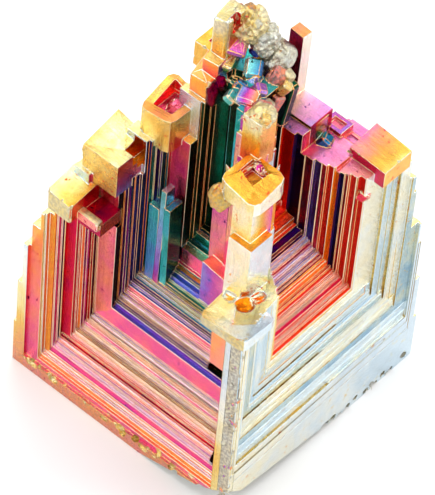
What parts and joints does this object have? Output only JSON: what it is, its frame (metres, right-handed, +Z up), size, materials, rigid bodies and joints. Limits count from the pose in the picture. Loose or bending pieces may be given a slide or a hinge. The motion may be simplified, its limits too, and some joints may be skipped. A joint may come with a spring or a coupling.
{
  "type": "bismuth hopper crystal",
  "caption": "Iridescent bismuth hopper crystal: a stepped, hollow-sided pyramid with nested square terraces, standing on its broken flat base.",
  "frame": {"origin": "middle of the bounding box, on the flat broken base", "axes": "+Z up through the apex; the two faces seen in the usual view look along -X (wide pink funnel) and -Y (pale face with the smaller funnel)"},
  "size_m": [0.0354, 0.0352, 0.0614],
  "materials": {
    "bismuth_oxide_film": "bare bismuth under a thin clear oxide film that colours it silver, gold, pink, purple, blue and green; glossy on the terraces, dull and knobbly on the tips"
  },
  "bodies": {
    "root": {"bismuth_crystal": "bismuth_oxide_film"}
  },
  "joints": []
}
